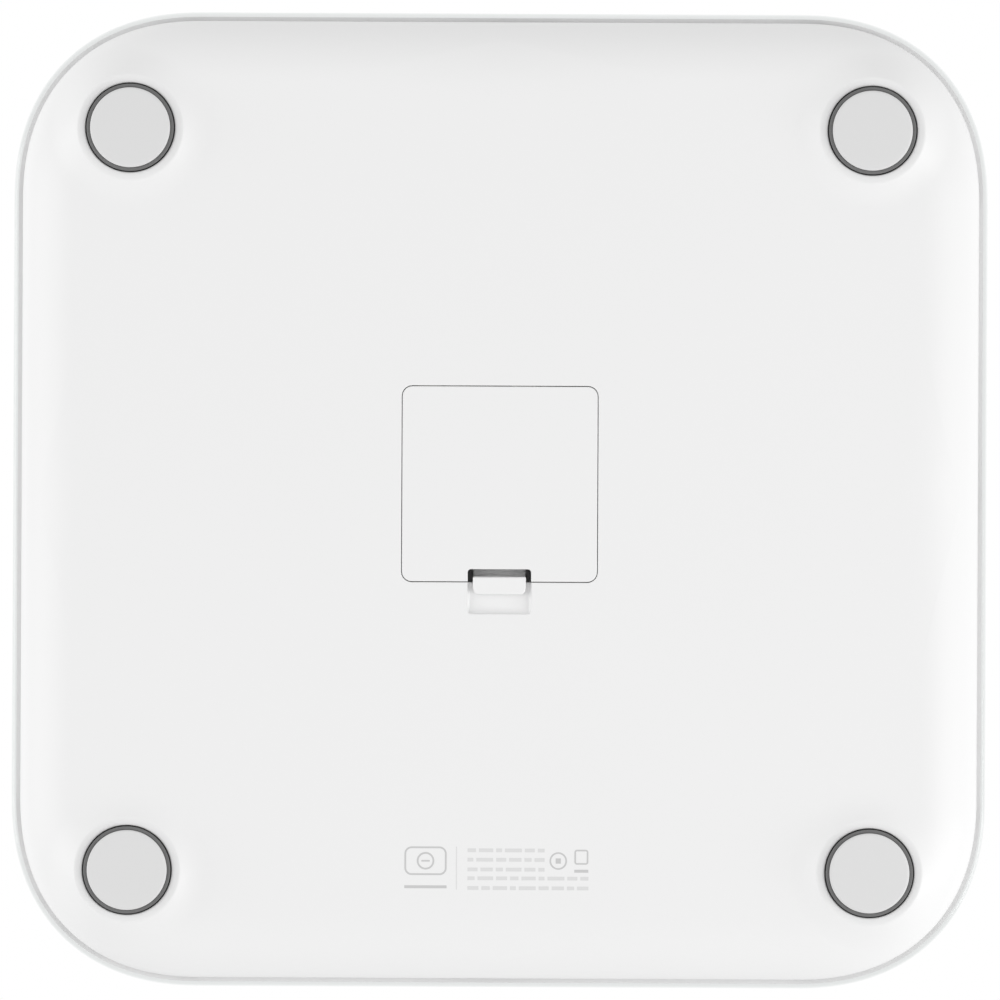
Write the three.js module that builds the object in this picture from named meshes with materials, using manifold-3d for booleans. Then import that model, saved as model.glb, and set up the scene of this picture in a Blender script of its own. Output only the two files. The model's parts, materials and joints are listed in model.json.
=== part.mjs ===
// Digital bathroom scale with a square glass platform.
// Millimetres, +Z up. Origin: middle of the footprint, on the floor. +Y is the display side.

import * as THREE from "three";
import { mergeVertices } from "three/addons/utils/BufferGeometryUtils.js";
import Module from "manifold-3d";

const wasm = await Module();
wasm.setup();

// ---------- driving dimensions ----------

const PLATFORM_HALF = 150; // half width of the glass
const PLATFORM_CORNER = 58.4; // how far the soft corner reaches along each side
const CORNER_POWER = 2.27; // superellipse power of the soft corner
const CORNER_STEPS = 7;

const HEIGHT = 28.8;
const GLASS_THICK = 6;
const GLASS_EDGE = 1.2; // rounding of the glass edges
const TAPE_THICK = 0.6;
const TAPE_WIDE = 12;
const GLASS_Z = HEIGHT - GLASS_THICK;
const FRAME_TOP_Z = GLASS_Z - TAPE_THICK;
const FRAME_THICK = 2;
const RIM_Z = FRAME_TOP_Z - FRAME_THICK; // where the casing meets the upper frame

const CASE_INSET = 2.7; // the glass stands this far beyond the casing
const CASE_Z = 5; // underside of the casing
const CASE_WALL = 2.2;
const CASE_CURVE = 18; // width of the curved edge of the casing
const CASE_FLOOR_Z = CASE_Z + CASE_WALL;

const FOOT_AT = 114.1;
const FOOT_TRAVEL = 0.4;
const FOOT_STEPS = 24;
const SMALL_STEPS = 8; // facets round a screw
const BOSS_Z = 3;
const BOSS_FLOOR_Z = BOSS_Z + CASE_WALL;
const BOSS_RADIUS = 16.3;
const BOSS_SLOPE = 0.44;
const FOOT_HOLE_RADIUS = 13.87;
const CARRIER_RADIUS = 13.45;
const CARRIER_LIP_Z = 1.4;
const CARRIER_FLANGE_RADIUS = 15.2;
const CARRIER_FLANGE_Z = BOSS_FLOOR_Z + FOOT_TRAVEL;
const PAD_RADIUS = 12.3;
const PAD_THICK = 2.6;
const PAD_ROUND = 1;

const TOWER_INNER = 15.6;
const TOWER_OUTER = 17.6;
const CELL_Z = 12; // underside of the load cells
const CELL_THICK = 1.4;
const CELL_HALF = 15;
const CELL_CORNER = 8;
const CLAMP_THICK = 2;

const DOOR_HALF = 30;
const DOOR_NEAR_Y = -25; // the latch edge
const DOOR_FAR_Y = 35; // the hinge edge
const DOOR_THICK = 1.6;
const DOOR_CORNER = 3;
const DOOR_GAP = 0.4;
const DOOR_TOP_Z = CASE_Z + DOOR_THICK;
const NOTCH_HALF = 9.75;
const NOTCH_Y = -21.2;

const TAB_HALF = 8.15;
const TAB_BACK_Y = -23.7;
const TAB_FRONT_Y = -28.9;
const SPRING_THICK = 1.2;
const SPRING_HALF = 6;
const SPRING_TOP_Z = 12.6;

const RECESS_END_Y = -35;
const RECESS_HALF = 9.85;
const RECESS_TOP_Z = 9.6;
const RECESS_WALL = 1.8;

const AA_RADIUS = 7.1;
const AA_LENGTH = 50.5;
const AA_PITCH = 14.6;
const AA_Z = 14.35;
const AA_NUB_RADIUS = 2.7;
const AA_NUB = 1.3;

const TRAY_HALF = 29.6; // inside of the battery tray
const TRAY_WALL = 1.4;
const TRAY_BACK_Y = 35.8;
const TRAY_FRONT_Y = -25.6;
const TRAY_SPLIT_Y = -18.2; // wall between the cells and the latch
const TRAY_ROOF_Z = 21.6;
const TRAY_TOP_Z = 22.4;
const CONTACT_THICK = 0.4;

const POST_AT = 60; // casing screws
const POST_RADIUS = 4;
const BOARD_HALF = 36;
const BOARD_NEAR_Y = 84;
const BOARD_FAR_Y = 118;
const BOARD_Z = 15.6;
const BOARD_THICK = 1.6;
const DISPLAY_HALF = 31;
const DISPLAY_NEAR_Y = 88;
const DISPLAY_FAR_Y = 114;
const LEAD_RADIUS = 0.6;
const LEAD_NOTCH_X = 97;
const LEAD_FLOOR_Z = CASE_FLOOR_Z + 1.4;

const SIDES = [-1, 1];
const CORNERS = [[-1, 1], [1, 1], [-1, -1], [1, -1]];

// ---------- finishes ----------

const finish = (color, roughness, metalness = 0) =>
  new THREE.MeshStandardMaterial({ color, roughness, metalness });

const FINISH = {
  glass: finish(0xe9efee, 0.05),
  tape: finish(0xf2f2ef, 0.8),
  white: finish(0xececea, 0.45),
  padGrey: finish(0xc9c9c7, 0.75),
  darkGrey: finish(0x4a4a4a, 0.6),
  steel: finish(0xb9bbbd, 0.35, 1),
  nickel: finish(0xcfd0d0, 0.25, 1),
  jacket: finish(0x9a9c9e, 0.35, 0.6),
  board: finish(0x1f5a38, 0.5),
  black: finish(0x1b1b1c, 0.4),
  lead: finish(0xd8d8d6, 0.5),
};

// ---------- solid helpers ----------

function toSolid(geometry) {
  const bare = geometry.index ? geometry.toNonIndexed() : geometry.clone();
  bare.deleteAttribute("normal");
  bare.deleteAttribute("uv");
  const merged = mergeVertices(bare, 1e-4);
  return new wasm.Manifold(
    new wasm.Mesh({
      numProp: 3,
      vertProperties: merged.attributes.position.array,
      triVerts: new Uint32Array(merged.index.array),
    }),
  );
}

function toGeometry(solid) {
  const found = solid.getMesh();
  const geometry = new THREE.BufferGeometry();
  geometry.setAttribute("position", new THREE.BufferAttribute(found.vertProperties, 3));
  geometry.setIndex(new THREE.BufferAttribute(found.triVerts, 1));
  const flat = geometry.toNonIndexed();
  flat.computeVertexNormals();
  return flat;
}

// A box given by its lowest and highest corners.
function block(low, high) {
  const size = high.map((value, axis) => value - low[axis]);
  const middle = high.map((value, axis) => (value + low[axis]) / 2);
  return toSolid(new THREE.BoxGeometry(...size).translate(...middle));
}

// A turned solid: profile points are [radius, z], listed upwards on the outside.
function turned(profile, steps, x = 0, y = 0) {
  const points = profile.map(([radius, z]) => new THREE.Vector2(radius, z));
  const lathe = new THREE.LatheGeometry(points, steps).rotateX(Math.PI / 2);
  return toSolid(lathe.translate(x, y, 0));
}

const cylinder = (radius, low, high, steps, x = 0, y = 0) =>
  turned([[0, low], [radius, low], [radius, high], [0, high]], steps, x, y);

const ring = (inner, outer, low, high, steps, x = 0, y = 0) =>
  turned(
    [[inner, low], [outer, low], [outer, high], [inner, high], [inner, low]],
    steps, x, y,
  );

// A plate: a flat outline raised from low to high.
function plate(shape, low, high, steps = 4) {
  const depth = high - low;
  const options = { depth, bevelEnabled: false, curveSegments: steps };
  return toSolid(new THREE.ExtrudeGeometry(shape, options).translate(0, 0, low));
}

// A profile in Y and Z, drawn out along X to halfWidth on each side.
function strip(points, halfWidth, x = 0) {
  const shape = new THREE.Shape(points.map(([y, z]) => new THREE.Vector2(y, z)));
  const options = { depth: 2 * halfWidth, bevelEnabled: false };
  const solid = new THREE.ExtrudeGeometry(shape, options).translate(0, 0, -halfWidth);
  const toYz = new THREE.Matrix4().makeBasis(
    new THREE.Vector3(0, 1, 0), new THREE.Vector3(0, 0, 1), new THREE.Vector3(1, 0, 0),
  );
  return toSolid(solid.applyMatrix4(toYz).translate(x, 0, 0));
}

function roundedRectangle(low, high, radius) {
  const [left, bottom] = low;
  const [right, top] = high;
  const shape = new THREE.Shape();
  shape.moveTo(left + radius, bottom);
  shape.lineTo(right - radius, bottom);
  shape.absarc(right - radius, bottom + radius, radius, -Math.PI / 2, 0);
  shape.lineTo(right, top - radius);
  shape.absarc(right - radius, top - radius, radius, 0, Math.PI / 2);
  shape.lineTo(left + radius, top);
  shape.absarc(left + radius, top - radius, radius, Math.PI / 2, Math.PI);
  shape.lineTo(left, bottom + radius);
  shape.absarc(left + radius, bottom + radius, radius, Math.PI, 1.5 * Math.PI);
  return shape;
}

// The scale's own outline, moved in by inset: straight sides and superellipse corners.
function softSquare(inset) {
  const reach = PLATFORM_CORNER - inset;
  const centre = PLATFORM_HALF - PLATFORM_CORNER;
  const bow = (value) => reach * Math.abs(value) ** (2 / CORNER_POWER);
  const points = [];
  for (const [signX, signY] of [[1, 1], [-1, 1], [-1, -1], [1, -1]]) {
    for (let step = 0; step <= CORNER_STEPS; step += 1) {
      const turn = (Math.PI / 2) * (step / CORNER_STEPS);
      const angle = signX * signY > 0 ? turn : Math.PI / 2 - turn;
      const x = signX * (centre + bow(Math.cos(angle)));
      const y = signY * (centre + bow(Math.sin(angle)));
      points.push(new THREE.Vector2(x, y));
    }
  }
  return new THREE.Shape(points);
}

// The pan that the casing is made of: a flat base and an edge that is a quarter ellipse.
function pan(inset, low, high, curve) {
  const options = {
    depth: 1,
    bevelSize: curve,
    bevelThickness: high - low,
    bevelSegments: 4,
  };
  const shape = softSquare(inset + curve);
  const whole = toSolid(new THREE.ExtrudeGeometry(shape, options).translate(0, 0, high));
  const above = block([-200, -200, high], [200, 200, high + 60]);
  return whole.subtract(above);
}

// ---------- platform ----------

function glassPlatform() {
  const options = {
    depth: GLASS_THICK - 2 * GLASS_EDGE,
    bevelSize: GLASS_EDGE,
    bevelThickness: GLASS_EDGE,
    bevelSegments: 2,
  };
  const sheet = new THREE.ExtrudeGeometry(softSquare(GLASS_EDGE), options);
  return toSolid(sheet.translate(0, 0, GLASS_Z + GLASS_EDGE));
}

function platformTape() {
  const outside = plate(softSquare(CASE_INSET + 1), FRAME_TOP_Z, GLASS_Z);
  const inside = plate(softSquare(CASE_INSET + 1 + TAPE_WIDE), FRAME_TOP_Z - 1, GLASS_Z + 1);
  return outside.subtract(inside);
}

function upperFrame() {
  let frame = plate(softSquare(CASE_INSET + 0.4), RIM_Z, FRAME_TOP_Z);
  for (const [x, y] of CORNERS) {
    const postLow = CELL_Z + CELL_THICK + CLAMP_THICK;
    frame = frame.add(ring(15.2, 17.6, postLow, RIM_Z + 1, FOOT_STEPS, x * FOOT_AT, y * FOOT_AT));
    frame = frame.subtract(
      cylinder(1.6, RIM_Z - 1, FRAME_TOP_Z + 1, SMALL_STEPS, x * POST_AT, y * POST_AT),
    );
    frame = frame.subtract(
      cylinder(3.1, FRAME_TOP_Z - 1.3, FRAME_TOP_Z + 1, SMALL_STEPS, x * POST_AT, y * POST_AT),
    );
  }
  const trayGap = 0.6;
  const trayHalf = TRAY_HALF + TRAY_WALL + trayGap;
  frame = frame.subtract(
    block(
      [-trayHalf, TRAY_FRONT_Y - TRAY_WALL - trayGap, RIM_Z - 1],
      [trayHalf, TRAY_BACK_Y + TRAY_WALL + trayGap, FRAME_TOP_Z + 1],
    ),
  );
  frame = frame.subtract(
    block(
      [-DISPLAY_HALF - 0.6, DISPLAY_NEAR_Y - 0.6, RIM_Z - 1],
      [DISPLAY_HALF + 0.6, DISPLAY_FAR_Y + 0.6, FRAME_TOP_Z + 1],
    ),
  );
  for (const [x, y] of boardScrewPlaces()) {
    frame = frame.add(ring(0.95, 2.1, BOARD_Z + BOARD_THICK, RIM_Z + 0.5, SMALL_STEPS, x, y));
  }
  return frame;
}

const caseScrew = (x, y) =>
  turned(
    [[0, 10], [1.25, 10], [1.25, 21], [2.8, 21], [2.8, 21.9], [0, 21.9]],
    SMALL_STEPS, x * POST_AT, y * POST_AT,
  );

// ---------- bottom casing ----------

function bottomShell() {
  let shell = pan(CASE_INSET, CASE_Z, RIM_Z, CASE_CURVE);
  let hollow = pan(CASE_INSET + CASE_WALL, CASE_FLOOR_Z, RIM_Z, CASE_CURVE - 1);
  for (const [x, y] of CORNERS) {
    shell = shell.add(footBoss(x * FOOT_AT, y * FOOT_AT));
    hollow = hollow.subtract(footTower(x * FOOT_AT, y * FOOT_AT));
    hollow = hollow.subtract(screwPost(x * POST_AT, y * POST_AT));
  }
  shell = shell.subtract(hollow);
  for (const [x, y] of CORNERS) {
    shell = shell.subtract(footBore(x * FOOT_AT, y * FOOT_AT));
    shell = shell.subtract(leadNotch(x * LEAD_NOTCH_X, y * FOOT_AT));
  }
  const openingLow = [-DOOR_HALF - DOOR_GAP, DOOR_NEAR_Y - DOOR_GAP];
  const openingHigh = [DOOR_HALF + DOOR_GAP, DOOR_FAR_Y + DOOR_GAP];
  const opening = roundedRectangle(openingLow, openingHigh, DOOR_CORNER + DOOR_GAP);
  shell = shell.subtract(plate(opening, CASE_Z - 1, CASE_FLOOR_Z + 1));
  return shell.add(recessOutside()).subtract(recessInside());
}

function footBoss(x, y) {
  const top = 12;
  const topRadius = BOSS_RADIUS + BOSS_SLOPE * (top - BOSS_Z);
  return turned([[0, BOSS_Z], [BOSS_RADIUS, BOSS_Z], [topRadius, top], [0, top]], FOOT_STEPS, x, y);
}

const footTower = (x, y) => ring(TOWER_INNER, TOWER_OUTER, CASE_FLOOR_Z - 1, CELL_Z, FOOT_STEPS, x, y);

const screwPost = (x, y) => {
  const post = cylinder(POST_RADIUS, CASE_FLOOR_Z - 1, RIM_Z - 0.2, SMALL_STEPS, x, y);
  return post.subtract(cylinder(1.4, 9, RIM_Z + 1, SMALL_STEPS, x, y));
};

// A notch in the tower's rim where the load cell's lead comes out.
const leadNotch = (x, y) => block([x - 3, y - 1.5, CELL_Z - 2], [x + 3, y + 1.5, CELL_Z + 1]);

function footBore(x, y) {
  const hole = cylinder(FOOT_HOLE_RADIUS, BOSS_Z - 1, BOSS_FLOOR_Z + 1, FOOT_STEPS, x, y);
  return hole.add(cylinder(TOWER_INNER, BOSS_FLOOR_Z, CELL_Z + 1, FOOT_STEPS, x, y));
}

const recessOutside = () =>
  block(
    [-RECESS_HALF - RECESS_WALL, RECESS_END_Y - RECESS_WALL, CASE_Z + 0.5],
    [RECESS_HALF + RECESS_WALL, DOOR_NEAR_Y - DOOR_GAP, RECESS_TOP_Z + RECESS_WALL],
  );

const recessInside = () =>
  block([-RECESS_HALF, RECESS_END_Y, CASE_Z - 1], [RECESS_HALF, DOOR_NEAR_Y + 1, RECESS_TOP_Z]);

// ---------- feet and load cells ----------

const footCarrier = (x, y) =>
  turned(
    [
      [0, PAD_THICK], [PAD_RADIUS + 0.05, PAD_THICK], [PAD_RADIUS + 0.05, CARRIER_LIP_Z],
      [CARRIER_RADIUS, CARRIER_LIP_Z], [CARRIER_RADIUS, CARRIER_FLANGE_Z],
      [CARRIER_FLANGE_RADIUS, CARRIER_FLANGE_Z], [CARRIER_FLANGE_RADIUS, CARRIER_FLANGE_Z + 1.4],
      [4, CARRIER_FLANGE_Z + 1.4], [3, CELL_Z - FOOT_TRAVEL - 0.05], [0, CELL_Z - FOOT_TRAVEL - 0.05],
    ],
    FOOT_STEPS, x, y,
  );

function footPad(x, y) {
  const profile = [[0, 0]];
  for (let step = 0; step <= 3; step += 1) {
    const turn = (Math.PI / 2) * (step / 3);
    const radius = PAD_RADIUS - PAD_ROUND + PAD_ROUND * Math.sin(turn);
    profile.push([radius, PAD_ROUND - PAD_ROUND * Math.cos(turn)]);
  }
  profile.push([PAD_RADIUS, PAD_THICK], [0, PAD_THICK]);
  return turned(profile, FOOT_STEPS, x, y);
}

// A half-bridge load cell: a steel plate whose tongue, freed by a U-shaped slot, takes the foot.
function loadCell(x, y) {
  const outline = roundedRectangle([-CELL_HALF, -CELL_HALF], [CELL_HALF, CELL_HALF], CELL_CORNER);
  const slot = new THREE.Path();
  const route = [
    [-9.5, 7], [-9.5, -9.5], [9.5, -9.5], [9.5, 7],
    [6.5, 7], [6.5, -6.5], [-6.5, -6.5], [-6.5, 7],
  ];
  slot.setFromPoints(route.map(([px, py]) => new THREE.Vector2(px, py)));
  slot.closePath();
  outline.holes.push(slot);
  const gaugeCover = block([-4, 6, CELL_Z + 1], [4, 9, CELL_Z + CELL_THICK + 0.6]);
  return plate(outline, CELL_Z, CELL_Z + CELL_THICK, 2).add(gaugeCover).translate([x, y, 0]);
}

const cellClamp = (x, y) =>
  ring(13.2, 18, CELL_Z + CELL_THICK, CELL_Z + CELL_THICK + CLAMP_THICK, FOOT_STEPS, x, y);

// ---------- battery door and latch ----------

function batteryDoor() {
  const outline = roundedRectangle([-DOOR_HALF, DOOR_NEAR_Y], [DOOR_HALF, DOOR_FAR_Y], DOOR_CORNER);
  let door = plate(outline, CASE_Z, DOOR_TOP_Z);
  door = door.subtract(
    block([-NOTCH_HALF, DOOR_NEAR_Y - 1, CASE_Z - 1], [NOTCH_HALF, NOTCH_Y, DOOR_TOP_Z + 1]),
  );
  for (const x of [-AA_PITCH, 0, AA_PITCH]) {
    door = door.add(block([x - 0.5, -14, DOOR_TOP_Z - 0.5], [x + 0.5, 31, 8.5]));
  }
  for (const side of SIDES) {
    const x = side * AA_PITCH;
    door = door.add(block([x - 2.2, 31.5, DOOR_TOP_Z - 0.5], [x + 2.2, 34.8, 9]));
    door = door.add(block([x - 2.2, 31.5, 7.6], [x + 2.2, 38, 9]));
  }
  const springLeg = block(
    [-SPRING_HALF, NOTCH_Y, DOOR_TOP_Z - 0.5],
    [SPRING_HALF, NOTCH_Y + SPRING_THICK, SPRING_TOP_Z],
  );
  return door.add(springLeg);
}

// The bend of the latch spring, its free leg and the thumb tab, as one moulding.
function doorLatch() {
  const outer = (NOTCH_Y + SPRING_THICK - TAB_BACK_Y - 0.1) / 2 + 0.35;
  const inner = outer - SPRING_THICK;
  const centreY = NOTCH_Y + SPRING_THICK - outer;
  const top = SPRING_TOP_Z + 0.3;
  const bend = 8;
  const profile = [];
  for (let step = 0; step <= bend; step += 1) {
    const turn = Math.PI * (step / bend);
    profile.push([centreY + outer * Math.cos(turn), top + outer * Math.sin(turn)]);
  }
  const legY = centreY - outer;
  profile.push([legY, CASE_Z + 1.6], [TAB_FRONT_Y, CASE_Z + 1.6], [TAB_FRONT_Y, CASE_Z]);
  profile.push([TAB_BACK_Y, CASE_Z], [TAB_BACK_Y, CASE_Z + 1.2], [centreY - inner, CASE_Z + 2.8]);
  for (let step = bend; step >= 0; step -= 1) {
    const turn = Math.PI * (step / bend);
    profile.push([centreY + inner * Math.cos(turn), top + inner * Math.sin(turn)]);
  }
  const leaf = strip(profile, SPRING_HALF);
  const chamfer = 1.15;
  const tabShape = new THREE.Shape([
    new THREE.Vector2(-TAB_HALF, TAB_BACK_Y),
    new THREE.Vector2(-TAB_HALF, TAB_FRONT_Y + chamfer),
    new THREE.Vector2(-TAB_HALF + chamfer, TAB_FRONT_Y),
    new THREE.Vector2(TAB_HALF - chamfer, TAB_FRONT_Y),
    new THREE.Vector2(TAB_HALF, TAB_FRONT_Y + chamfer),
    new THREE.Vector2(TAB_HALF, TAB_BACK_Y),
  ]);
  return leaf.add(plate(tabShape, CASE_Z, CASE_Z + 1.6));
}

// ---------- battery tray, cells and contacts ----------

function batteryTray() {
  const outerHalf = TRAY_HALF + TRAY_WALL;
  const front = TRAY_FRONT_Y - TRAY_WALL;
  const back = TRAY_BACK_Y + TRAY_WALL;
  let tray = block([-outerHalf, front, CASE_FLOOR_Z], [outerHalf, back, TRAY_TOP_Z]);
  tray = tray.subtract(
    block([-TRAY_HALF, TRAY_SPLIT_Y, CASE_FLOOR_Z - 1], [TRAY_HALF, TRAY_BACK_Y, TRAY_ROOF_Z]),
  );
  tray = tray.subtract(
    block(
      [-TRAY_HALF, TRAY_FRONT_Y, CASE_FLOOR_Z - 1],
      [TRAY_HALF, TRAY_SPLIT_Y - 1.2, TRAY_ROOF_Z],
    ),
  );
  const clear = RECESS_WALL + 0.6;
  tray = tray.subtract(
    block(
      [-RECESS_HALF - clear, front - 1, CASE_FLOOR_Z - 1],
      [RECESS_HALF + clear, TRAY_FRONT_Y + 0.5, 12],
    ),
  );
  for (const side of SIDES) {
    const x = side * AA_PITCH;
    tray = tray.subtract(
      block([x - 3, TRAY_BACK_Y - 0.5, CASE_FLOOR_Z - 1], [x + 3, back + 1, 10.4]),
    );
  }
  return tray;
}

// An AA cell along Y. Direction 1 puts its positive nub at the display end.
function aaCell(x, direction) {
  const can = AA_LENGTH - AA_NUB;
  const profile = [
    [0, 0], [AA_RADIUS - 0.6, 0], [AA_RADIUS, 0.6], [AA_RADIUS, can - 0.6],
    [AA_RADIUS - 0.6, can], [AA_NUB_RADIUS, can], [AA_NUB_RADIUS, AA_LENGTH], [0, AA_LENGTH],
  ];
  const points = profile.map(([radius, along]) => new THREE.Vector2(radius, along));
  const lathe = new THREE.LatheGeometry(points, 18);
  if (direction < 0) lathe.rotateX(Math.PI);
  const start = direction > 0 ? TRAY_BACK_Y - 0.6 - AA_LENGTH : TRAY_SPLIT_Y + 0.6 + AA_LENGTH;
  return toSolid(lathe.translate(x, start, AA_Z));
}

// A leaf of spring steel on an end wall: bowed where it meets a cell's flat end.
function contactLeaf(low, high, wallY, inward, bows) {
  const face = wallY + inward * CONTACT_THICK;
  const points = [[low, wallY], [high, wallY], [high, face]];
  for (const x of [...bows].sort((a, b) => b - a)) {
    points.push([x + 4, face], [x + 1.5, face + inward * 2], [x - 1.5, face + inward * 2], [x - 4, face]);
  }
  points.push([low, face]);
  const shape = new THREE.Shape(points.map(([x, y]) => new THREE.Vector2(x, y)));
  return plate(shape, 10.8, 18.8);
}

// ---------- electronics ----------

const boardScrewPlaces = () =>
  [86.2, 115.8].flatMap((y) => SIDES.map((side) => [side * (BOARD_HALF - 2.4), y]));

function mainBoard() {
  let board = block([-BOARD_HALF, BOARD_NEAR_Y, BOARD_Z], [BOARD_HALF, BOARD_FAR_Y, BOARD_Z + BOARD_THICK]);
  for (const [x, y] of boardScrewPlaces()) {
    board = board.subtract(cylinder(1.1, BOARD_Z - 1, BOARD_Z + BOARD_THICK + 1, SMALL_STEPS, x, y));
  }
  return board;
}

const boardScrew = (x, y) =>
  turned(
    [
      [0, BOARD_Z - 1.4], [1.9, BOARD_Z - 1.4], [1.9, BOARD_Z - 0.05], [0.8, BOARD_Z - 0.05],
      [0.8, RIM_Z - 0.6], [0, RIM_Z - 0.6],
    ],
    SMALL_STEPS, x, y,
  );

// A sleeved lead along a smooth curve through the given points.
function lead(points, steps) {
  const stations = points.map((p) => new THREE.Vector3(...p));
  const curve = new THREE.CatmullRomCurve3(stations, false, "centripetal");
  const section = new THREE.Shape();
  section.absarc(0, 0, LEAD_RADIUS, 0, 2 * Math.PI);
  const options = { steps, extrudePath: curve, curveSegments: 3 };
  return toSolid(new THREE.ExtrudeGeometry(section, options));
}

const SOCKET_FRONT_Y = 85;
const SOCKET_Z = 13.4;

const frontCellRoute = (side) => [
  [side * 98.2, FOOT_AT, CELL_Z + 0.7], [side * 95, FOOT_AT, CELL_Z + 0.7], [side * 91, 113, 10.4],
  [side * 86, 111, LEAD_FLOOR_Z],
  [side * 66, 99, LEAD_FLOOR_Z], [side * 30, 80, LEAD_FLOOR_Z], [side * 12, 77, 10],
  [side * 9, 80, 13], [side * 9, SOCKET_FRONT_Y - 0.3, SOCKET_Z],
];

const rearCellRoute = (side) => [
  [side * 98.2, -FOOT_AT, CELL_Z + 0.7], [side * 95, -FOOT_AT, CELL_Z + 0.7], [side * 91, -113, 10.4],
  [side * 86, -109, LEAD_FLOOR_Z],
  [side * 80, -60, LEAD_FLOOR_Z], [side * 76, 0, LEAD_FLOOR_Z], [side * 73, 56, LEAD_FLOOR_Z],
  [side * 58, 72, LEAD_FLOOR_Z], [side * 14, 72, 9], [side * 5.5, 77, 12.4],
  [side * 5.5, SOCKET_FRONT_Y - 0.3, SOCKET_Z],
];

const batteryRoute = (side) => [
  [side * 31.4, -12, 14], [side * 34, -11, 12], [side * 38, 0, LEAD_FLOOR_Z], [side * 39, 30, LEAD_FLOOR_Z],
  [side * 30, 58, LEAD_FLOOR_Z], [side * 6, 66, LEAD_FLOOR_Z], [side * 2, 76, 12],
  [side * 2, SOCKET_FRONT_Y - 0.3, SOCKET_Z],
];

// ---------- the assembly ----------

const scale = new THREE.Group();

function put(name, solid, material) {
  const mesh = new THREE.Mesh(toGeometry(solid), material);
  mesh.name = name;
  scale.add(mesh);
}

put("glass_platform", glassPlatform(), FINISH.glass);
put("platform_tape", platformTape(), FINISH.tape);
put("upper_frame", upperFrame(), FINISH.white);
put("bottom_shell", bottomShell(), FINISH.white);
put("battery_tray", batteryTray(), FINISH.white);
put("battery_door", batteryDoor(), FINISH.white);
put("door_latch", doorLatch(), FINISH.white);

CORNERS.forEach(([x, y], index) => {
  const number = index + 1;
  put(`foot_carrier_${number}`, footCarrier(x * FOOT_AT, y * FOOT_AT), FINISH.darkGrey);
  put(`foot_pad_${number}`, footPad(x * FOOT_AT, y * FOOT_AT), FINISH.padGrey);
  put(`load_cell_${number}`, loadCell(x * FOOT_AT, y * FOOT_AT), FINISH.steel);
  put(`cell_clamp_${number}`, cellClamp(x * FOOT_AT, y * FOOT_AT), FINISH.white);
  put(`case_screw_${number}`, caseScrew(x, y), FINISH.steel);
  const route = y > 0 ? frontCellRoute(x) : rearCellRoute(x);
  put(`cell_lead_${number}`, lead(route, y > 0 ? 22 : 34), FINISH.lead);
});

[-1.5, -0.5, 0.5, 1.5].forEach((place, index) => {
  const direction = index % 2 ? -1 : 1;
  put(`battery_${index + 1}`, aaCell(place * AA_PITCH, direction), FINISH.jacket);
});

const [CELL_1, CELL_2, CELL_3, CELL_4] = [-1.5, -0.5, 0.5, 1.5].map((place) => place * AA_PITCH);
put("contact_negative", contactLeaf(CELL_1 - 5, CELL_1 + 5, TRAY_SPLIT_Y, 1, [CELL_1]), FINISH.nickel);
put("contact_positive", contactLeaf(CELL_4 - 5, CELL_4 + 5, TRAY_SPLIT_Y, 1, []), FINISH.nickel);
put("contact_bridge_middle", contactLeaf(CELL_2 - 5, CELL_3 + 5, TRAY_SPLIT_Y, 1, [CELL_3]), FINISH.nickel);
put("contact_bridge_left", contactLeaf(CELL_1 - 5, CELL_2 + 5, TRAY_BACK_Y, -1, [CELL_2]), FINISH.nickel);
put("contact_bridge_right", contactLeaf(CELL_3 - 5, CELL_4 + 5, TRAY_BACK_Y, -1, [CELL_4]), FINISH.nickel);

put("main_board", mainBoard(), FINISH.board);
put("controller_chip", block([-20, 96, BOARD_Z - 1.6], [-8, 108, BOARD_Z]), FINISH.black);
put("lead_socket", block([-12, SOCKET_FRONT_Y, 11.6], [12, 91, BOARD_Z]), FINISH.white);
put(
  "display_block",
  block([-DISPLAY_HALF, DISPLAY_NEAR_Y, BOARD_Z + BOARD_THICK], [DISPLAY_HALF, DISPLAY_FAR_Y, 21.6]),
  FINISH.black,
);
put(
  "display_diffuser",
  block([-DISPLAY_HALF, DISPLAY_NEAR_Y, 21.6], [DISPLAY_HALF, DISPLAY_FAR_Y, FRAME_TOP_Z]),
  FINISH.tape,
);
boardScrewPlaces().forEach(([x, y], index) => {
  put(`board_screw_${index + 1}`, boardScrew(x, y), FINISH.steel);
});
SIDES.forEach((side, index) => {
  put(`battery_lead_${index + 1}`, lead(batteryRoute(side), 24), FINISH.lead);
});

export default scale;
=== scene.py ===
"""Looks of a digital bathroom scale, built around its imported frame. Metres, +Z up, feet on z = 0."""

import json
import math

import bmesh
import bpy
from mathutils import Matrix, Vector


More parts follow.
